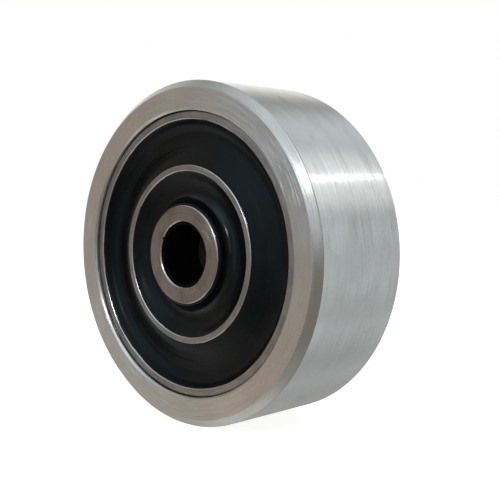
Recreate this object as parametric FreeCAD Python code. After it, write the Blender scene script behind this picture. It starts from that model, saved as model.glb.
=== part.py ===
"""Seam roller: a turned aluminium rim on a laminated rubber bush, with plain bearing liners.

The roller is built up in rings round one axis, +Y, and both its sides are the same. From the axle
outwards: two thin plastic liners that run on the axle, a steel axle tube, a bonded rubber ring, a thin
steel middle sleeve, a second bonded rubber ring, a steel outer sleeve, and the aluminium rim that the
outer sleeve is pressed into. The origin is the roller's centre, +Z is up, the front is at -Y, and all
sizes are in millimetres.
"""

import FreeCAD, Part
import math
import os

from FreeCAD import Vector

# Overall sizes
ROLLER_DIAMETER = 105.0
ROLLER_WIDTH = 40.0

# Axle liners
AXLE_BORE = 18.0  # wall of the bore that runs on the axle
AXLE_LINER_WALL = 1.0
AXLE_LINER_LENGTH = 15.0
AXLE_LINER_SETBACK = 0.7  # from each end of the axle tube to the liner's end
AXLE_LINER_EDGE_BREAK = 0.3

# Axle tube
AXLE_TUBE_WALL = 5.0
AXLE_TUBE_PROUD = 0.5  # how far each end stands out of the rim's side face
AXLE_TUBE_EDGE_BREAK = 0.4

# Rings between the axle tube and the rim
INNER_RUBBER_THICKNESS = 10.2
MIDDLE_SLEEVE_WALL = 2.0
MIDDLE_SLEEVE_SETBACK = 0.8  # how far each end lies inside the rim's side face
OUTER_SLEEVE_WALL = 2.6
OUTER_SLEEVE_SETBACK = 1.2
OUTER_SLEEVE_LEAD_IN = 0.5  # bevel on the outside edge, for pressing it into the rim
SLEEVE_EDGE_BREAK = 0.25

# Rim
RIM_WALL = 9.1
RIM_CHAMFER = 2.2
RIM_MOUTH_CHAMFER = 0.6  # lead-in at each end of the bore that the outer sleeve is pressed into

# Rubber ends, bonding and corners
RUBBER_LIP_SETBACK = 0.5  # from a metal ring's end face to the edge of the rubber bonded to it
RUBBER_HOLLOW_SHARE = 0.32  # depth of the hollow in a rubber end, as a share of the rubber's thickness
BOND_LINE = 0.03  # thickness of the bonding film between rubber and steel, which isn't modelled
EDGE_ROUNDING = 0.12  # radius left on every machined corner

# Radii that follow, from the axle outwards
liner_bore_r = AXLE_BORE / 2
liner_r = liner_bore_r + AXLE_LINER_WALL
axle_tube_r = liner_r + AXLE_TUBE_WALL
middle_sleeve_bore_r = axle_tube_r + INNER_RUBBER_THICKNESS
middle_sleeve_r = middle_sleeve_bore_r + MIDDLE_SLEEVE_WALL
rim_r = ROLLER_DIAMETER / 2
outer_sleeve_r = rim_r - RIM_WALL
outer_sleeve_bore_r = outer_sleeve_r - OUTER_SLEEVE_WALL

# Half lengths that follow
rim_half = ROLLER_WIDTH / 2
axle_tube_half = rim_half + AXLE_TUBE_PROUD
middle_sleeve_half = rim_half - MIDDLE_SLEEVE_SETBACK
outer_sleeve_half = rim_half - OUTER_SLEEVE_SETBACK

# Side of the roller that a liner is on
FRONT = -1
REAR = 1


def at(radius, along):
    """A point of a half section: a distance from the axis, and a distance along it."""
    return Vector(radius, along, 0)


def rounded_edges(corners, rounding):
    """The edges of a closed outline of straight runs, with an arc of the given radius in each corner."""
    starts = []
    middles = []
    ends = []
    for i, corner in enumerate(corners):
        before = (corners[i - 1] - corner).normalize()
        after = (corners[(i + 1) % len(corners)] - corner).normalize()
        inward = (before + after).normalize()
        half_angle = before.getAngle(after) / 2
        reach = rounding / math.tan(half_angle)
        centre = corner + inward * (rounding / math.sin(half_angle))
        starts.append(corner + before * reach)
        middles.append(centre - inward * rounding)
        ends.append(corner + after * reach)
    edges = []
    for i in range(len(corners)):
        edges.append(Part.Arc(starts[i], middles[i], ends[i]).toShape())
        edges.append(Part.LineSegment(ends[i], starts[(i + 1) % len(corners)]).toShape())
    return edges


def revolved(edges):
    """The solid that a closed half section sweeps in a full turn round the roller's axis."""
    section = Part.Face(Part.Wire(edges))
    return section.revolve(Vector(0, 0, 0), Vector(0, 1, 0), 360)


def bevelled_ring(bore_r, outer_r, half_length, bore_bevel, outer_bevel):
    """A turned ring with 45 degree bevels at both ends of its bore and of its outside."""
    corners = []
    for side in (FRONT, REAR):
        end_corners = [
            at(bore_r, side * (half_length - bore_bevel)),
            at(bore_r + bore_bevel, side * half_length),
            at(outer_r - outer_bevel, side * half_length),
            at(outer_r, side * (half_length - outer_bevel)),
        ]
        corners += end_corners[::-side]
    return revolved(rounded_edges(corners, EDGE_ROUNDING))


def rubber_ring(inner_r, outer_r, inner_half, outer_half):
    """A rubber ring bonded between two metal rings of the given half lengths, hollowed at both ends."""
    inside = inner_r + BOND_LINE
    outside = outer_r - BOND_LINE
    inner_lip = inner_half - RUBBER_LIP_SETBACK
    outer_lip = outer_half - RUBBER_LIP_SETBACK
    floor = (inner_lip + outer_lip) / 2 - RUBBER_HOLLOW_SHARE * (outside - inside)
    middle_r = (inside + outside) / 2
    edges = [
        Part.Arc(at(inside, inner_lip), at(middle_r, floor), at(outside, outer_lip)).toShape(),
        Part.LineSegment(at(outside, outer_lip), at(outside, -outer_lip)).toShape(),
        Part.Arc(at(outside, -outer_lip), at(middle_r, -floor), at(inside, -inner_lip)).toShape(),
        Part.LineSegment(at(inside, -inner_lip), at(inside, inner_lip)).toShape(),
    ]
    return revolved(edges)


def axle_liner(side):
    """Thin dry-running plastic liner pressed into one end of the axle tube."""
    half_length = AXLE_LINER_LENGTH / 2
    liner = bevelled_ring(
        liner_bore_r, liner_r, half_length, AXLE_LINER_EDGE_BREAK, AXLE_LINER_EDGE_BREAK
    )
    middle = axle_tube_half - AXLE_LINER_SETBACK - half_length
    liner.translate(Vector(0, side * middle, 0))
    return liner


def front_liner():
    return axle_liner(FRONT)


def rear_liner():
    return axle_liner(REAR)


def axle_tube():
    """Thick steel tube that holds the liners, and whose ends turn between the roller's two arms."""
    return bevelled_ring(
        liner_r, axle_tube_r, axle_tube_half, AXLE_TUBE_EDGE_BREAK, AXLE_TUBE_EDGE_BREAK
    )


def inner_rubber():
    """Rubber bonded to the axle tube and to the inside of the middle sleeve."""
    return rubber_ring(axle_tube_r, middle_sleeve_bore_r, axle_tube_half, middle_sleeve_half)


def middle_sleeve():
    """Thin steel sleeve between the two rubber rings."""
    return bevelled_ring(
        middle_sleeve_bore_r, middle_sleeve_r, middle_sleeve_half, SLEEVE_EDGE_BREAK, SLEEVE_EDGE_BREAK
    )


def outer_rubber():
    """Rubber bonded to the outside of the middle sleeve and to the inside of the outer sleeve."""
    return rubber_ring(middle_sleeve_r, outer_sleeve_bore_r, middle_sleeve_half, outer_sleeve_half)


def outer_sleeve():
    """Steel sleeve round the bush, bevelled outside so that it can be pressed into the rim."""
    return bevelled_ring(
        outer_sleeve_bore_r, outer_sleeve_r, outer_sleeve_half, SLEEVE_EDGE_BREAK, OUTER_SLEEVE_LEAD_IN
    )


def roller_rim():
    """Aluminium ring whose outside rolls on the seam."""
    return bevelled_ring(outer_sleeve_r, rim_r, rim_half, RIM_MOUTH_CHAMFER, RIM_CHAMFER)


PIECES = [
    front_liner, rear_liner, axle_tube, inner_rubber, middle_sleeve, outer_rubber, outer_sleeve, roller_rim
]

os.makedirs("parts", exist_ok=True)
for piece in PIECES:
    solid = piece()
    if not solid.isValid() or solid.Volume <= 0:
        raise ValueError(f"{piece.__name__} isn't a valid solid")
    solid.exportStep(f"parts/{piece.__name__}.step")
    print(f"{piece.__name__}: {solid.Volume / 1000:.2f} cm3")
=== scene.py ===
# %% [markdown]
# # Seam roller
# This roller presses a hot-welded roofing seam flat. An aluminium rim rolls on the seam. It sits on a
# bush of two rubber rings and three steel ones, bonded together, and the innermost steel tube turns on
# an axle. The solids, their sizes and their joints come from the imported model, which is loaded first.
# Everything that follows gives those solids their finished edges, surfaces and light.

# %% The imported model
import math

import bmesh
import bpy
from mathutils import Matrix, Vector
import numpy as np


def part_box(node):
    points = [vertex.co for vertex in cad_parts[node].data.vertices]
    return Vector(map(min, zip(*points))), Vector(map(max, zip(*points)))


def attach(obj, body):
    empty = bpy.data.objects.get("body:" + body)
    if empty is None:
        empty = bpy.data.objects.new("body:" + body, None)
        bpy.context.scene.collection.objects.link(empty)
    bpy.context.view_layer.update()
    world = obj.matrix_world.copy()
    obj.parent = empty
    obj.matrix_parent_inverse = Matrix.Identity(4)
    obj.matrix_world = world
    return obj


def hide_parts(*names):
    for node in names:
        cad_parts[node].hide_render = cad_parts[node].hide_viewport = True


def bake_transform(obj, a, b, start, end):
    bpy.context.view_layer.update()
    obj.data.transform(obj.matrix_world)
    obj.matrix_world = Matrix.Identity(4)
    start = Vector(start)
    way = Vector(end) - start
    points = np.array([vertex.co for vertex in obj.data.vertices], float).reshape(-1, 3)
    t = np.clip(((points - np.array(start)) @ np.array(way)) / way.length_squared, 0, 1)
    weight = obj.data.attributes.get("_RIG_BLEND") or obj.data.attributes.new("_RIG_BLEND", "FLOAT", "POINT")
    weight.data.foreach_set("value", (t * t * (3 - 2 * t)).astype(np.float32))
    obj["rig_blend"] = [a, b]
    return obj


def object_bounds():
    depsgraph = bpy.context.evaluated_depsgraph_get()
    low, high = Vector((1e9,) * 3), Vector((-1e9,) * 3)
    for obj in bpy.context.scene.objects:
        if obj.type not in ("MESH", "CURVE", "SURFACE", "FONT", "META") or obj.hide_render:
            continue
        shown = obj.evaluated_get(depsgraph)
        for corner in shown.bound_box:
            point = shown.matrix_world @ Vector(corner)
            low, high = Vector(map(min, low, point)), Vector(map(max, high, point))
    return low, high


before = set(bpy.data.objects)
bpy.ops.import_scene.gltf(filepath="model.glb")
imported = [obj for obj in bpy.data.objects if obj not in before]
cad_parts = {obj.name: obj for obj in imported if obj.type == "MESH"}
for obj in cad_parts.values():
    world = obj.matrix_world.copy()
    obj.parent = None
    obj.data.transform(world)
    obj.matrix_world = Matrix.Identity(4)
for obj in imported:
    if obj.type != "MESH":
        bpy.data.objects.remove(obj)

cad_lowest, cad_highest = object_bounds()
print("the roller measures", [round(high - low, 4) for low, high in zip(cad_lowest, cad_highest)], "m")

# %% [markdown]
# ## Units and sizes
# Blender works in metres and a workshop in millimetres, so each size below is a number times MM. The
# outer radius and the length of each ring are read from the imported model. What its boxes can't tell,
# such as a wall or a bevel, is named here. Each ring's bore is its outer radius less its wall.

# %% Sizes
MM = 0.001

RIM_CHAMFER = 2.2 * MM
RIM_MOUTH_CHAMFER = 0.6 * MM
OUTER_SLEEVE_WALL = 2.6 * MM
OUTER_SLEEVE_LEAD_IN = 0.5 * MM
MIDDLE_SLEEVE_WALL = 2.0 * MM
SLEEVE_EDGE_BREAK = 0.25 * MM
TUBE_EDGE_BREAK = 0.4 * MM
LINER_WALL = 1.0 * MM
LINER_EDGE_BREAK = 0.3 * MM
RUBBER_LIP_SETBACK = 0.5 * MM
EDGE_ROUNDING = 0.12 * MM

AROUND = 256  # steps that a ring takes to go once round the axis
ROUNDING_STEPS = 3
SMALLEST_GAP = 0.001 * MM  # points nearer than this are one point
TURNED_EDGE_ANGLE = 40  # in degrees; the shading stays sharp at steeper edges
MOULDED_EDGE_ANGLE = 60


def outer_radius(node):
    """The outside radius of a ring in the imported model."""
    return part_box(node)[1].x


def half_length(node):
    """Half the length of a ring that is centred on the roller."""
    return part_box(node)[1].y


tube_radius = outer_radius("axle_tube")
tube_bore = outer_radius("front_liner")
middle_radius = outer_radius("middle_sleeve")
middle_bore = middle_radius - MIDDLE_SLEEVE_WALL
sleeve_radius = outer_radius("outer_sleeve")
sleeve_bore = sleeve_radius - OUTER_SLEEVE_WALL
rim_radius = outer_radius("roller_rim")
ring_radii = (tube_bore, tube_radius, middle_bore, middle_radius, sleeve_bore, sleeve_radius, rim_radius)
print("ring radii, from the bore outwards:", [round(r / MM, 2) for r in ring_radii], "mm")


# %% [markdown]
# ## Working in edit mode from a script
# An operator acts on whatever is selected, as it does by hand. So before each one a helper clears the
# selection and then picks points by where they are.

# %% Selecting
def work_on(piece):
    """Makes one object the only one selected, and the active one."""
    bpy.ops.object.select_all(action="DESELECT")
    piece.select_set(True)
    bpy.context.view_layer.objects.active = piece


def pick(piece, wanted):
    """In edit mode, selects the points for which wanted(point) is true, and nothing else."""
    bpy.ops.mesh.select_mode(type="VERT")
    bpy.ops.mesh.select_all(action="DESELECT")
    mesh = bmesh.from_edit_mesh(piece.data)
    for vertex in mesh.verts:
        vertex.select = wanted(vertex.co)
    mesh.select_flush(True)
    bmesh.update_edit_mesh(piece.data)


# %% [markdown]
# ## A ring from its section
# Every piece of this roller is a body of revolution, made on a lathe or in a round mould. A cylinder
# with booleans would give long thin faces and no control of the edges. A section that is spun round the
# axis gives even faces, and each corner can be bevelled first, as the lathe tool does it. The section
# starts as a plane of the ring's wall and length, beside the axis.

# %% Section, bevel, spin
def start_section(name, bore_radius, radius, front, rear):
    """A flat rectangle: the cut face of a ring from bore_radius to radius, and from front to rear."""
    bpy.ops.object.select_all(action="DESELECT")
    middle = Vector(((bore_radius + radius) / 2, (front + rear) / 2, 0))
    bpy.ops.mesh.primitive_plane_add(size=1, location=middle)
    piece = bpy.context.object
    piece.name = name
    piece.data.name = name
    bpy.ops.object.transform_apply(location=True, rotation=False, scale=False)
    bpy.ops.object.mode_set(mode="EDIT")
    bpy.ops.mesh.select_all(action="SELECT")
    wall_and_length = (radius - bore_radius, rear - front, 1)
    bpy.ops.transform.resize(value=wall_and_length, center_override=middle)
    return piece


def bevel_corners(piece, wanted, size, steps=1):
    """Cuts the section's corners for which wanted(point) is true, straight or round."""
    pick(piece, wanted)
    bpy.ops.mesh.bevel(offset=size, offset_type="OFFSET", segments=steps, affect="VERTICES")


def spin_section(piece):
    """Turns the outline once round the axle axis into a closed ring with its faces outwards."""
    bpy.ops.mesh.select_all(action="SELECT")
    bpy.ops.mesh.delete(type="ONLY_FACE")
    bpy.ops.mesh.select_all(action="SELECT")
    bpy.ops.mesh.spin(
        steps=AROUND, angle=math.tau, center=(0, 0, 0), axis=(0, 1, 0), use_auto_merge=True
    )
    bpy.ops.mesh.select_all(action="SELECT")
    bpy.ops.mesh.remove_doubles(threshold=SMALLEST_GAP)
    bpy.ops.mesh.normals_make_consistent(inside=False)
    bpy.ops.object.mode_set(mode="OBJECT")


def apply_modifiers(piece):
    """Makes every modifier on the piece part of its mesh."""
    work_on(piece)
    for modifier in list(piece.modifiers):
        bpy.ops.object.modifier_apply(modifier=modifier.name)


# %% [markdown]
# A turned edge is never sharp: the tool's nose leaves a small radius, and that radius is what catches
# the light. So after the bevels, every corner is rounded too. Smooth shading would then bend the light
# across the flat faces, and a Weighted Normal modifier keeps it inside the rounding.

# %% Turned metal ring
def turned_ring(name, bore_radius, radius, front, rear, bore_bevel, outer_bevel):
    """A ring as it comes off the lathe, with both edges of its bore and of its outside bevelled."""
    piece = start_section(name, bore_radius, radius, front, rear)
    middle_of_wall = (bore_radius + radius) / 2
    bevel_corners(piece, lambda point: point.x < middle_of_wall, bore_bevel)
    bevel_corners(piece, lambda point: point.x > radius - outer_bevel / 2, outer_bevel)
    bevel_corners(piece, lambda point: True, EDGE_ROUNDING, ROUNDING_STEPS)
    spin_section(piece)
    work_on(piece)
    bpy.ops.object.shade_smooth_by_angle(angle=math.radians(TURNED_EDGE_ANGLE))
    flatten = piece.modifiers.new("even_faces", "WEIGHTED_NORMAL")
    flatten.weight = 100
    flatten.keep_sharp = True
    apply_modifiers(piece)
    print(f"{name}: {len(piece.data.polygons)} faces")
    return piece


# %% [markdown]
# ## The metal rings
# The rim is one turned ring of aluminium. Its outside bevels keep it from marking the membrane, and the
# small bevel in each mouth of its bore guides the bush in. The outer sleeve has a bevel of its own to
# meet it, so that a narrow V runs round between the two.

# %% Rim and sleeves
def centred_ring(node, name, bore_radius, bore_bevel, outer_bevel):
    """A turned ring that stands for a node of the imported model, as long and as wide as that node."""
    half = half_length(node)
    return turned_ring(name, bore_radius, outer_radius(node), -half, half, bore_bevel, outer_bevel)


rim = centred_ring("roller_rim", "turned_rim", sleeve_radius, RIM_MOUTH_CHAMFER, RIM_CHAMFER)
outer_sleeve = centred_ring(
    "outer_sleeve", "pressed_in_sleeve", sleeve_bore, SLEEVE_EDGE_BREAK, OUTER_SLEEVE_LEAD_IN
)
middle_sleeve = centred_ring(
    "middle_sleeve", "parting_sleeve", middle_bore, SLEEVE_EDGE_BREAK, SLEEVE_EDGE_BREAK
)
axle_tube = centred_ring("axle_tube", "bore_tube", tube_bore, TUBE_EDGE_BREAK, TUBE_EDGE_BREAK)

# %% [markdown]
# ## The liners in the bore
# Two thin plastic liners sit in the tube's ends and run dry on the axle. They are rings too, and each
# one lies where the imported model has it.

# %% Liners
def liner_ring(node, name):
    """A plain bearing liner, from its node's front end to its rear end."""
    lowest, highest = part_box(node)
    bore_radius = highest.x - LINER_WALL
    return turned_ring(
        name, bore_radius, highest.x, lowest.y, highest.y, LINER_EDGE_BREAK, LINER_EDGE_BREAK
    )


front_liner = liner_ring("front_liner", "front_bore_liner")
rear_liner = liner_ring("rear_liner", "rear_bore_liner")

# %% [markdown]
# ## The rubber rings
# Each rubber ring is moulded between two steel rings, and its ends are hollowed so that the rubber can
# stretch when the rim tilts. The hollow is a smooth curve through a few heights. At the axle tube it is
# steep, because the rubber climbs the tube as a thin skin. The outline is drawn by cutting each end of
# the section into short runs and moving every point to its place on the curve.

# %% The hollows' outlines
# Each point is (share of the way across the rubber, depth below the straight line from lip to lip).
INNER_HOLLOW = (
    (0.0, 0.0), (0.05, 0.12 * MM), (0.078, 0.7 * MM), (0.105, 1.7 * MM), (0.17, 2.8 * MM),
    (0.30, 3.55 * MM), (0.48, 3.6 * MM), (0.72, 2.6 * MM), (0.91, 0.8 * MM), (1.0, 0.0),
)
OUTER_HOLLOW = (
    (0.0, 0.0), (0.06, 0.15 * MM), (0.18, 0.8 * MM), (0.36, 2.1 * MM), (0.56, 3.2 * MM),
    (0.74, 3.3 * MM), (0.88, 2.2 * MM), (0.95, 0.9 * MM), (0.98, 0.25 * MM), (1.0, 0.0),
)
STEPS_PER_SPAN = 5
RIPPLE_HEIGHT = 0.035 * MM
RIPPLES_ACROSS = 7


def through(points, steps):
    """A smooth curve through the points, steps to a span, each span leaving as the last one arrived."""
    curve = [points[0]]
    last = len(points) - 1
    for i in range(last):
        before = Vector(points[max(i - 1, 0)])
        start = Vector(points[i])
        end = Vector(points[i + 1])
        after = Vector(points[min(i + 2, last)])
        for step in range(1, steps + 1):
            t = step / steps
            curve.append(tuple(0.5 * (
                2 * start + (end - before) * t
                + (2 * before - 5 * start + 4 * end - after) * t ** 2
                + (3 * start - before - 3 * end + after) * t ** 3
            )))
    return curve


def rippled(curve):
    """The curve with the low rings that a worn mould leaves, which fade out towards both lips."""
    waves = []
    for share, depth in curve:
        fade = math.sin(math.pi * share) ** 2
        wave = math.sin(math.tau * RIPPLES_ACROSS * share)
        waves.append((share, depth + RIPPLE_HEIGHT * fade * wave))
    return waves


# %% Rubber ring
def move_point(piece, index, target):
    """In edit mode, moves one point of the section to its place."""
    bpy.ops.mesh.select_all(action="DESELECT")
    mesh = bmesh.from_edit_mesh(piece.data)
    mesh.verts.ensure_lookup_table()
    mesh.verts[index].select = True
    shift = target - mesh.verts[index].co
    bmesh.update_edit_mesh(piece.data)
    bpy.ops.transform.translate(value=shift)


def hollow_end(piece, side, outline):
    """Cuts one end of the section into as many runs as the outline has, and moves its points there."""
    def at_this_end(point):
        return point.y * side > 0

    pick(piece, at_this_end)
    bpy.ops.mesh.subdivide(number_cuts=len(outline) - 2)
    mesh = bmesh.from_edit_mesh(piece.data)
    order = sorted((v.co.x, v.index) for v in mesh.verts if at_this_end(v.co))
    for (_, index), (radius, along) in zip(order, outline):
        move_point(piece, index, Vector((radius, side * along, 0)))


def rubber_ring(name, inside, outside, inner_end, outer_end, hollow):
    """A bonded rubber ring. Its ends are given as half lengths, at its inside and at its outside."""
    inner_lip = inner_end - RUBBER_LIP_SETBACK
    outer_lip = outer_end - RUBBER_LIP_SETBACK
    outline = []
    for share, depth in rippled(through(hollow, STEPS_PER_SPAN)):
        radius = inside + share * (outside - inside)
        outline.append((radius, inner_lip + share * (outer_lip - inner_lip) - depth))
    piece = start_section(name, inside, outside, -inner_lip, inner_lip)
    hollow_end(piece, -1, outline)
    hollow_end(piece, 1, outline)
    spin_section(piece)
    work_on(piece)
    bpy.ops.object.shade_smooth_by_angle(angle=math.radians(MOULDED_EDGE_ANGLE))
    print(f"{name}: {len(piece.data.polygons)} faces")
    return piece


tube_end = half_length("axle_tube")
middle_end = half_length("middle_sleeve")
sleeve_end = half_length("outer_sleeve")
inner_rubber = rubber_ring(
    "inner_bonded_rubber", tube_radius, middle_bore, tube_end, middle_end, INNER_HOLLOW
)
outer_rubber = rubber_ring(
    "outer_bonded_rubber", middle_radius, sleeve_bore, middle_end, sleeve_end, OUTER_HOLLOW
)

# %% [markdown]
# ## Hand-moulded unevenness
# Rubber shrinks a little unevenly as it cools, so its hollows aren't perfect. A Displace modifier with a
# soft cloud pattern moves the hollows by hundredths of a millimetre. A vertex group keeps the bonded
# walls still, where the rubber has to meet the steel.

# %% Shrinkage
SHRINKAGE = 0.10 * MM
SHRINKAGE_SPREAD = 9 * MM


def shrink_unevenly(piece, inside, outside):
    """Moves the hollowed ends in and out by a small, smooth and uneven amount."""
    free = piece.vertex_groups.new(name="free_rubber")
    for vertex in piece.data.vertices:
        radius = math.hypot(vertex.co.x, vertex.co.z)
        share = (radius - inside) / (outside - inside)
        free.add([vertex.index], math.sin(math.pi * min(max(share, 0), 1)), "REPLACE")
    clouds = bpy.data.textures.new(piece.name + "_clouds", "CLOUDS")
    clouds.noise_scale = SHRINKAGE_SPREAD
    uneven = piece.modifiers.new("shrinkage", "DISPLACE")
    uneven.texture = clouds
    uneven.texture_coords = "LOCAL"
    uneven.strength = SHRINKAGE
    uneven.vertex_group = free.name
    apply_modifiers(piece)
    piece.vertex_groups.clear()


shrink_unevenly(inner_rubber, tube_radius, middle_bore)
shrink_unevenly(outer_rubber, middle_radius, sleeve_bore)
print(f"the hollows rise and fall by up to {SHRINKAGE / 2 / MM:.2f} mm")

# %% [markdown]
# ## Which body each piece moves with
# The tube and liners belong to the hub, and the sleeve and rim to the rim body. A rubber ring belongs to
# two bodies at once: its inside is bonded to one and its outside to the next, and it shears between. The
# blend call makes weights along a straight line, so they are then written again by radius. They follow
# how a bonded ring really shears: twist gathers near the inside, as one over the radius squared, and
# tilt follows the radius's logarithm.

# %% Riding and blending
def twist_share(radius, inside, outside):
    """How much of the outer ring's turn a bonded rubber ring makes at this radius."""
    return (inside ** -2 - radius ** -2) / (inside ** -2 - outside ** -2)


def tilt_share(radius, inside, outside):
    """How much of the outer ring's tilt a bonded rubber ring makes at this radius."""
    return math.log(radius / inside) / math.log(outside / inside)


def bond(piece, inner_body, outer_body, inside, outside, share):
    """Joins a rubber ring's inside to one body and its outside to another."""
    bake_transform(piece, inner_body, outer_body, start=(inside, 0, 0), end=(outside, 0, 0))
    weights = piece.data.attributes["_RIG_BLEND"].data
    for vertex, weight in zip(piece.data.vertices, weights):
        radius = math.hypot(vertex.co.x, vertex.co.z)
        weight.value = share(min(max(radius, inside), outside), inside, outside)


bond(inner_rubber, "hub", "middle", tube_radius, middle_bore, twist_share)
bond(outer_rubber, "middle", "rim", middle_radius, sleeve_bore, tilt_share)
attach(axle_tube, "hub")
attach(front_liner, "hub")
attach(rear_liner, "hub")
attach(middle_sleeve, "middle")
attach(outer_sleeve, "rim")
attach(rim, "rim")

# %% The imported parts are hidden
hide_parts("axle_tube")
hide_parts("front_liner")
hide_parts("rear_liner")
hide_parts("inner_rubber")
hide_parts("middle_sleeve")
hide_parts("outer_rubber")
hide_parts("outer_sleeve")
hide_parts("roller_rim")

# %% [markdown]
# ## Node sums written as Python
# A finish is mostly arithmetic on the place of a point, and node trees for arithmetic are hard to read.
# The class Value below wraps a node's output, so that an expression such as (1 - mask) * 0.3 adds its
# own Math nodes. Nodes adds any other node in one call: its type, its settings and what goes into it.

# %% Value and Nodes
class Value:
    """A number from a node, which can be used in Python sums."""

    def __init__(self, nodes, socket):
        self.nodes = nodes
        self.socket = socket

    def __add__(self, other):
        return self.nodes.sum("ADD", self, other)

    def __sub__(self, other):
        return self.nodes.sum("SUBTRACT", self, other)

    def __rsub__(self, other):
        return self.nodes.sum("SUBTRACT", other, self)

    def __mul__(self, other):
        return self.nodes.sum("MULTIPLY", self, other)

    def __truediv__(self, other):
        return self.nodes.sum("DIVIDE", self, other)

    def __rtruediv__(self, other):
        return self.nodes.sum("DIVIDE", other, self)

    def __pow__(self, other):
        return self.nodes.sum("POWER", self, other)

    __radd__ = __add__
    __rmul__ = __mul__


class Nodes:
    """The node tree of a material or of the world."""

    def __init__(self, tree):
        self.tree = tree

    def plug(self, socket, value):
        """Joins a value to a node's input, or sets the input to a plain number or colour."""
        if isinstance(value, Value):
            self.tree.links.new(value.socket, socket)
        else:
            socket.default_value = value

    def add(self, kind, settings=None, inputs=None, output=0):
        """Adds a node with its settings first and then its inputs, and gives one of its outputs."""
        node = self.tree.nodes.new("ShaderNode" + kind)
        for name, setting in (settings or {}).items():
            setattr(node, name, setting)
        for name, value in (inputs or {}).items():
            self.plug(node.inputs[name], value)
        return Value(self, node.outputs[output])

    def sum(self, operation, *values):
        return self.add("Math", {"operation": operation}, dict(enumerate(values)))

    def vector_sum(self, operation, *values, output=0):
        return self.add("VectorMath", {"operation": operation}, dict(enumerate(values)), output)

    def vector(self, x, y, z):
        return self.add("CombineXYZ", inputs={"X": x, "Y": y, "Z": z})

    def split(self, vector):
        """The x, y and z of a vector."""
        parts = self.add("SeparateXYZ", inputs={"Vector": vector}).socket.node.outputs
        return [Value(self, part) for part in parts]

    def rise(self, value, low, high, start=0.0, end=1.0):
        """Goes smoothly from start to end as value goes from low to high."""
        return self.add(
            "MapRange", {"interpolation_type": "SMOOTHSTEP"},
            {"Value": value, "From Min": low, "From Max": high, "To Min": start, "To Max": end},
        )

    def noise(self, vector, detail=2.0, scale=1.0, roughness=0.5):
        """A soft random value around 0.5."""
        inputs = {"Vector": vector, "Scale": scale, "Detail": detail, "Roughness": roughness}
        return self.add("TexNoise", inputs=inputs)

    def mix(self, amount, first, second, blend="MIX"):
        """One colour where amount is 0 and another where it is 1."""
        settings = {"data_type": "RGBA", "blend_type": blend}
        return self.add("Mix", settings, {0: amount, 6: first, 7: second}, output=2)


# %% [markdown]
# ## Places on a turned piece
# Marks on this roller run round the axle axis, so the useful places are the distance from the axis, the
# distance along it, and the way round. The way round is kept as a point on a circle of radius one, which
# has no seam.

# %% Finish
def colour(red, green, blue):
    return (red, green, blue, 1.0)


class Finish(Nodes):
    """A material, with the places on a turned piece ready to use."""

    def __init__(self, name, **constants):
        self.material = bpy.data.materials.new(name)
        self.material.use_nodes = True
        super().__init__(self.material.node_tree)
        self.shader = self.tree.nodes["Principled BSDF"]
        for socket, value in constants.items():
            self.shader.inputs[socket.replace("_", " ")].default_value = value
        self.place = self.add("TexCoord", output="Object")
        self.surface = self.add("TexCoord", output="Normal")
        self.x, self.y, self.z = self.split(self.place)
        self.radius = (self.x ** 2 + self.z ** 2) ** 0.5
        self.along = self.sum("ABSOLUTE", self.y)
        self.turn_x = self.x / self.radius
        self.turn_z = self.z / self.radius

    def show(self, socket, value):
        self.plug(self.shader.inputs[socket], value)

    def cloud(self, size, detail=3.0, offset=0.0):
        """Random patches of about the given size, in metres."""
        moved = self.vector_sum("ADD", self.place, (offset, offset, offset))
        return self.noise(moved, detail, 1 / size)

    def rings(self, pitch, runs=2.0, detail=2.0):
        """Random rings round the axis. runs is how many times each ring changes on its way round."""
        step = (self.radius + self.y * 0.6) / pitch
        return self.noise(self.vector(self.turn_x * runs, self.turn_z * runs, step), detail)

    def ring_at(self, radius, width):
        """1 on the circle of that radius, falling to 0 at width from it."""
        return self.rise(self.sum("ABSOLUTE", self.radius - radius), 0.0, width, 1.0, 0.0)

    def flanks(self, pitch):
        """Steep groove sides: 0 on most of the surface, up to 1 or -1 on about a tenth of it."""
        side = self.rings(pitch, runs=4.0)
        return self.rise(side, 0.60, 0.72) - self.rise(side, 0.40, 0.28)

    def tilt_across_grooves(self, slope):
        """The surface's normal, tilted by slope at right angles to the turning grooves."""
        way_round = self.vector(self.z * -1.0 / self.radius, 0.0, self.turn_x)
        across = self.vector_sum("CROSS_PRODUCT", way_round, self.surface)
        tilted = self.vector_sum("ADD", self.surface, self.vector_sum("MULTIPLY", across, slope))
        return self.add(
            "VectorTransform",
            {"vector_type": "NORMAL", "convert_from": "OBJECT", "convert_to": "WORLD"},
            {"Vector": self.vector_sum("NORMALIZE", tilted)},
        )

    def bump(self, height, distance, normal=None):
        """A normal that shows height, a value from 0 to 1, as distance metres deep."""
        inputs = {"Height": height, "Distance": distance, "Strength": 1.0}
        if normal is not None:
            inputs["Normal"] = normal
        return self.add("Bump", inputs=inputs)

    def put_on(self, *pieces, slot):
        for piece in pieces:
            piece.data.materials.clear()
            piece.data.materials.append(self.material)
            print(slot, "is on", piece.name)


# %% [markdown]
# ## Turned aluminium
# A lathe tool leaves a spiral of grooves finer than the eye can part. They spread each reflection across
# the grooves and leave it sharp along them. That is why the rim's flat side shows two light fans, and
# its outside one thin line along the axle. Grooves this fine would need millions of faces, so each
# point's normal is tilted at right angles to them instead. Three patterns of rings add up to the tilt:
# fine grooves, a few steep groove sides that throw light further, and coarse waves. Soft clouds stain
# and smudge the metal.

# %% Aluminium finish
FINE_GROOVES = 0.04 * MM
STEEP_GROOVES = 0.05 * MM
COARSE_GROOVES = 0.40 * MM
STAIN_SIZE = 22 * MM
SMUDGE_SIZE = 5 * MM
DENT_SIZE = 2.6 * MM
DENT_DEPTH = 0.03 * MM
SCRATCH_SPACING = 0.9 * MM


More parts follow.
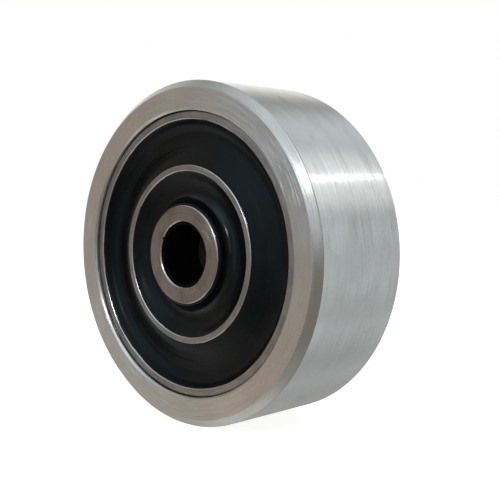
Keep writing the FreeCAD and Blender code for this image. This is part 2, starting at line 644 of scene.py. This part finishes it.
def turned_aluminium():
    metal = Finish("turned_aluminium", Metallic=1.0)
    outside = metal.rise(metal.radius, rim_radius - RIM_CHAMFER, rim_radius - RIM_CHAMFER * 0.6)
    rolling = metal.rise(metal.radius, rim_radius - 0.1 * MM, rim_radius - 0.02 * MM)
    fine = metal.rings(FINE_GROOVES, runs=3.0)
    coarse = metal.rings(COARSE_GROOVES, runs=1.5)
    stain = metal.cloud(STAIN_SIZE, offset=0.3)
    handling = metal.cloud(SMUDGE_SIZE, detail=5.0, offset=1.7)
    slope = (fine - 0.5) * (1.0 - outside * 0.35) + (coarse - 0.5) * (0.07 - rolling * 0.055)
    slope = slope + metal.flanks(STEEP_GROOVES) * (0.9 - outside * 0.9)
    grooved = metal.tilt_across_grooves(slope)

    # Dents and long scratches from work on the roof
    scratch_place = metal.vector(metal.turn_x * 2.2, metal.turn_z * 2.2, metal.y / SCRATCH_SPACING)
    line = metal.noise(scratch_place, 4.0)
    scratch = metal.rise(line, 0.66, 0.70) * metal.rise(handling, 0.52, 0.64)
    dent = metal.rise(metal.cloud(DENT_SIZE, detail=1.0, offset=4.1), 0.72, 0.80)
    metal.show("Normal", metal.bump(1 - dent * 0.6 - scratch * 0.3, DENT_DEPTH, grooved))

    # Colour: bare metal, a little yellow where it has been handled, and painted shade, near black, at the
    # bottom of the V between the rim and the outer sleeve, where the groove lies in shade
    dull, clean = colour(0.60, 0.61, 0.60), colour(0.66, 0.665, 0.66)
    bare = metal.mix(metal.rise(stain, 0.35, 0.65), dull, clean)
    ring = metal.rise(coarse, 0.35, 0.7) * (0.16 - rolling * 0.12)
    ringed = metal.mix(ring, bare, colour(0.49, 0.495, 0.495))
    smudge = metal.rise(handling, 0.48, 0.70) * 0.25
    smudged = metal.mix(smudge, ringed, colour(0.52, 0.50, 0.46))
    v_top = sleeve_end - OUTER_SLEEVE_LEAD_IN * 0.4
    v_bottom = sleeve_end - OUTER_SLEEVE_LEAD_IN * 0.9
    # painted shade: a near-black, rougher ring at the bottom of the V
    painted_v_shade = metal.ring_at(sleeve_radius, 0.3 * MM) * metal.rise(metal.along, v_top, v_bottom)
    metal.show("Base Color", metal.mix(painted_v_shade, smudged, colour(0.02, 0.02, 0.02)))

    # Roughness: the bevels and the rolling face are cut finer than the flat sides
    rough = 0.30 - outside * 0.06 - rolling * 0.07 + (handling - 0.5) * (0.12 - rolling * 0.09)
    metal.show("Roughness", rough + scratch * 0.08 + painted_v_shade * 0.3)
    return metal


turned_aluminium().put_on(rim, slot="turned_aluminium")

# %% [markdown]
# ## Cut steel
# The sleeves and the tube are cut from stock tube and faced. Steel is darker than aluminium and takes a
# thin brown oxide. The edges stay bright, because they are rubbed whenever the part is handled.

# %% Steel finishes
STEEL_FINE_GROOVES = 0.07 * MM
STEEL_STEEP_GROOVES = 0.09 * MM
STEEL_COARSE_GROOVES = 0.45 * MM
OXIDE_SIZE = 6 * MM
PIT_SIZE = 0.5 * MM
PIT_DEPTH = 0.02 * MM
RUBBED_EDGE = 0.5 * MM
BORE_SHADE_FADE = 0.1 * MM


def faced_steel(name, base, oxide, bright_edges, rust_amount):
    steel = Finish(name)
    fine = steel.rings(STEEL_FINE_GROOVES, runs=4.0)
    coarse = steel.rings(STEEL_COARSE_GROOVES, runs=1.5)
    patches = steel.cloud(OXIDE_SIZE, detail=4.0, offset=2.3)
    grain = steel.cloud(PIT_SIZE, detail=3.0, offset=0.9)
    slope = (fine - 0.5) * 0.60 + (coarse - 0.5) * 0.10
    slope = slope + steel.flanks(STEEL_STEEP_GROOVES) * 0.9
    grooved = steel.tilt_across_grooves(slope)
    pit = steel.rise(grain, 0.64, 0.76)
    steel.show("Normal", steel.bump(1 - pit, PIT_DEPTH, grooved))
    tarnish = steel.rise(patches, 0.40, 0.66) * rust_amount
    toned = steel.mix(tarnish, base, oxide)
    darker = steel.mix(0.5, toned, colour(0, 0, 0))
    ringed = steel.mix(steel.rise(coarse, 0.40, 0.70) * 0.35, toned, darker)
    edge = 0.0
    for radius in bright_edges:
        edge = steel.ring_at(radius, RUBBED_EDGE) + edge
    rubbed = steel.rise(edge, 0.1, 0.9)
    bright = steel.mix(rubbed, ringed, colour(0.58, 0.58, 0.59))

    # Painted shade, near black, not metallic and rougher, in the V where the sleeve meets the rim and in the
    # bore between the liners
    bevel_top = sleeve_radius - OUTER_SLEEVE_LEAD_IN * 0.7
    bevel_bottom = sleeve_radius - OUTER_SLEEVE_LEAD_IN * 0.4
    painted_v_shade = steel.rise(steel.radius, bevel_top, bevel_bottom)
    bore_end = tube_end - TUBE_EDGE_BREAK
    in_bore = steel.rise(steel.radius, tube_bore + BORE_SHADE_FADE, tube_bore)
    painted_bore_shade = in_bore * steel.rise(steel.along, bore_end, bore_end - BORE_SHADE_FADE)
    painted_shade = painted_v_shade + painted_bore_shade
    steel.show("Base Color", steel.mix(painted_shade, bright, colour(0.004, 0.004, 0.0035)))
    steel.show("Metallic", 1 - painted_shade)
    rough = 0.36 + (patches - 0.5) * 0.2 + pit * 0.15
    steel.show("Roughness", rough - rubbed * 0.12 + painted_shade * 0.25)
    return steel


faced_steel(
    "sleeve_steel", base=colour(0.36, 0.36, 0.355), oxide=colour(0.25, 0.23, 0.21),
    bright_edges=(sleeve_bore, middle_radius, middle_bore), rust_amount=0.6
).put_on(outer_sleeve, middle_sleeve, slot="sleeve_steel")
faced_steel(
    "tube_steel", base=colour(0.33, 0.30, 0.28), oxide=colour(0.23, 0.195, 0.165),
    bright_edges=(tube_radius, tube_bore), rust_amount=0.7
).put_on(axle_tube, slot="tube_steel")

# %% [markdown]
# ## Moulded rubber
# The rubber is black with a faint blue cast, and it has the satin skin that a polished mould leaves. It
# has fine rings from the mould, a very small grain and a grey bloom in patches. Where it climbs the axle
# tube the mould was polished more, so a narrow ring there has a thin glossy coat.

# %% Rubber finish
BLOOM_SIZE = 7 * MM
RUBBER_GRAIN = 0.35 * MM
MOULD_RINGS = 0.55 * MM
SKIN_RELIEF = 0.05 * MM
POLISHED_OUT_FROM_TUBE = 2.2 * MM
POLISHED_FADE = 1.8 * MM


def bonded_rubber():
    rubber = Finish(
        "bonded_rubber", Metallic=0.0, Specular_IOR_Level=0.20,
        Specular_Tint=colour(0.75, 0.92, 1.0), Coat_Roughness=0.12
    )
    bloom = rubber.cloud(BLOOM_SIZE, detail=4.0, offset=0.6)
    grain = rubber.cloud(RUBBER_GRAIN, detail=2.0, offset=5.0)
    mould_rings = rubber.rings(MOULD_RINGS, runs=1.4)
    height = mould_rings * 0.75 + grain * 0.25
    rubber.show("Normal", rubber.bump(height, SKIN_RELIEF))
    dusty = rubber.rise(bloom, 0.45, 0.75) * 0.5
    clean, bloomed = colour(0.0010, 0.0015, 0.0018), colour(0.0045, 0.0052, 0.0058)
    rubber.show("Base Color", rubber.mix(dusty, clean, bloomed))
    polished = rubber.ring_at(tube_radius + POLISHED_OUT_FROM_TUBE, POLISHED_FADE)
    satin = 0.35 - polished * 0.18
    rubber.show("Roughness", satin + (bloom - 0.5) * 0.20 + (grain - 0.5) * 0.10)
    rubber.show("Coat Weight", polished * 0.35)
    return rubber


bonded_rubber().put_on(inner_rubber, outer_rubber, slot="bonded_rubber")

# %% [markdown]
# ## Bearing plastic
# The liners are a dull black plastic, polished in faint lines round the bore where the axle has run.

# %% Plastic finish
RUN_IN_LINES = 0.3 * MM
PLASTIC_GRAIN = 0.4 * MM
PLASTIC_RELIEF = 0.02 * MM


def liner_plastic():
    plastic = Finish("liner_plastic", Metallic=0.0, Specular_IOR_Level=0.05)
    run_in = plastic.rings(RUN_IN_LINES, runs=1.0)
    grain = plastic.cloud(PLASTIC_GRAIN, detail=2.0)
    plastic.show("Normal", plastic.bump(run_in * 0.6 + grain * 0.4, PLASTIC_RELIEF))
    worn = plastic.rise(run_in, 0.5, 0.7)
    moulded, polished = colour(0.0008, 0.0008, 0.0008), colour(0.002, 0.002, 0.002)
    plastic.show("Base Color", plastic.mix(worn, moulded, polished))
    plastic.show("Roughness", 0.55 - worn * 0.12)
    return plastic


liner_plastic().put_on(front_liner, rear_liner, slot="liner_plastic")

# %% [markdown]
# ## Floor and surroundings
# Bright metal shows what is round it more than its own colour, so the room matters as much as the
# finish. The floor is plain and pale. It is left out of mirror reflections, so that the grey and tinted
# parts of the room show in the metal and not one flat white.

# %% Floor
FLOOR_SIZE = 6.0


def pale_floor():
    """A wide level floor under the roller."""
    bpy.ops.object.select_all(action="DESELECT")
    bpy.ops.mesh.primitive_plane_add(size=FLOOR_SIZE, location=(0, 0, cad_lowest.z))
    floor = bpy.context.object
    floor.name = "floor"
    floor.visible_glossy = False
    paint = bpy.data.materials.new("floor_paint")
    paint.use_nodes = True
    shader = paint.node_tree.nodes["Principled BSDF"]
    shader.inputs["Base Color"].default_value = colour(0.86, 0.86, 0.86)
    shader.inputs["Roughness"].default_value = 1.0
    shader.inputs["Specular IOR Level"].default_value = 0.0
    shader.inputs["Emission Color"].default_value = colour(1, 1, 1)
    shader.inputs["Emission Strength"].default_value = 0.8
    floor.data.materials.append(paint)


pale_floor()


# %% [markdown]
# A place round the roller is given as a turn and a height in degrees: turn 0 is straight in front of the
# face, 90 is on the right, and 180 is behind. The room is a dim even light with wide soft cards added to
# it, as a studio has round its table. The rim's flat side mirrors what stands in front on the left, and
# its outside mirrors what stands behind. The camera itself sees plain white.

# %% Room
def towards(turn, height):
    """The direction from the roller to a place round it, as a vector of length one."""
    turn, height = math.radians(turn), math.radians(height)
    level = math.cos(height)
    return Vector((math.sin(turn) * level, -math.cos(turn) * level, math.sin(height)))


AMBIENT = (0.24, 0.22, 0.19)
PLAIN = (1.0, 1.0, 1.0)
COOL = (0.87, 1.0, 1.1)
SKY = (0.6, 1.0, 1.45)
WARM = (1.15, 1.0, 0.8)
WOOD = (1.0, 0.25, 0.0)

# Each card's turn and height, how many degrees it reaches from its middle, its brightness and its tint
CARDS = {
    "straight in front": (5, 0, 22, 0.45, COOL),
    "window in front, left": (-20, 18, 23, 0.62, SKY),
    "wood in front, low": (-25, -25, 24, 0.20, WOOD),
    "card in front, left": (-50, 25, 28, 0.20, WARM),
    "table in front, left": (-45, -30, 28, 0.30, WARM),
    "wood on the left": (-70, 10, 24, 0.15, WOOD),
    "card on the left, low": (-75, -15, 26, 0.40, PLAIN),
    "card on the right": (45, 15, 20, 0.50, COOL),
    "high in front": (-5, 35, 28, 0.45, COOL),
    "higher in front": (20, 55, 32, 0.65, COOL),
    "high on the left": (-60, 60, 30, 0.30, COOL),
    "table below, in front": (15, -60, 28, 0.15, PLAIN),
    "table below": (-60, -65, 34, 0.45, PLAIN),
    "wall on the left": (-90, -5, 24, 0.12, PLAIN),
    "wall on the left, high": (-100, 30, 24, 0.40, PLAIN),
    "wall on the left, low": (-110, -25, 30, 0.14, PLAIN),
    "table on the left": (-95, -45, 24, 0.15, PLAIN),
    "wall behind": (135, -5, 28, 0.25, COOL),
    "wall behind, higher": (138, 18, 26, 0.37, COOL),
    "glow round the rear lamp": (149, 31, 19, 0.60, PLAIN),
    "ceiling behind": (170, 45, 30, 0.50, COOL),
    "ceiling behind, left": (-155, 40, 30, 0.15, COOL),
    "window behind, left": (-130, 10, 30, 0.82, PLAIN),
    "table behind, right": (140, -25, 30, 0.25, COOL),
    "table behind": (165, -45, 30, 0.25, COOL),
    "table behind, left": (-150, -35, 30, 0.20, COOL),
    "ceiling": (180, 85, 34, 0.35, COOL),
}


def room():
    world = bpy.data.worlds.new("room")
    bpy.context.scene.world = world
    world.use_nodes = True
    sky = Nodes(world.node_tree)
    way = sky.add("TexCoord", output="Generated")
    light = colour(*AMBIENT)
    for turn, height, reach, brightness, tint in CARDS.values():
        near = sky.vector_sum("DOT_PRODUCT", way, towards(turn, height), output="Value")
        shown = sky.rise(near, math.cos(math.radians(reach)), 1.0, 0.0, brightness)
        light = sky.mix(shown, light, colour(*tint), blend="ADD")
    seen = sky.add("LightPath", output="Is Camera Ray")
    shade = sky.mix(seen, light, colour(1, 1, 1))
    sky.plug(world.node_tree.nodes["Background"].inputs["Color"], shade)
    print(len(CARDS), "soft cards light the roller")


room()

# %% [markdown]
# ## Lights
# Two lamps shape the roller. A window-like panel in front, high on the right, whitens the front bevel
# and the edges that face it. A small lamp behind on the right draws the thin line along the rim's
# outside: the grooves stretch its reflection along the axle and leave it narrow the other way.

# %% Panels
def panel(name, turn, height, distance, size, brightness):
    """A square light that faces the roller. Brightness is how bright its face looks."""
    light = bpy.data.lights.new(name, "AREA")
    light.shape = "SQUARE"
    light.size = size
    light.energy = brightness * math.pi * size ** 2
    holder = bpy.data.objects.new(name, light)
    bpy.context.scene.collection.objects.link(holder)
    direction = towards(turn, height)
    holder.location = direction * distance
    holder.rotation_euler = direction.to_track_quat("Z", "Y").to_euler()


panel("front_window", turn=34, height=32, distance=0.8, size=0.16, brightness=11.5)
panel("rear_lamp", turn=149, height=31, distance=0.9, size=0.04, brightness=9.5)

# %% [markdown]
# ## Camera
# The camera stands to the right of the roller and a little above its axle, level with no roll, and looks
# at its front side at about 43 degrees. The distances are in roller radii, so that the view keeps its
# framing if the roller's size changes.

# %% Camera
CAMERA_RIGHT = 3.873
CAMERA_IN_FRONT = 3.556
CAMERA_ABOVE = 0.349
CAMERA_TURN = 43.26
CAMERA_DOWN = 3.36
LENS = 65.66  # millimetres, on a sensor 36 mm wide

camera_data = bpy.data.cameras.new("camera")
camera_data.lens = LENS
camera = bpy.data.objects.new("camera", camera_data)
bpy.context.scene.collection.objects.link(camera)
front_face = half_length("roller_rim")
camera.location = (
    CAMERA_RIGHT * rim_radius, -front_face - CAMERA_IN_FRONT * rim_radius, CAMERA_ABOVE * rim_radius
)
camera.rotation_euler = (math.radians(90 - CAMERA_DOWN), 0, math.radians(CAMERA_TURN))
bpy.context.scene.camera = camera
bpy.context.scene.view_settings.view_transform = "Standard"
print("camera at", [round(part, 4) for part in camera.location], "m")
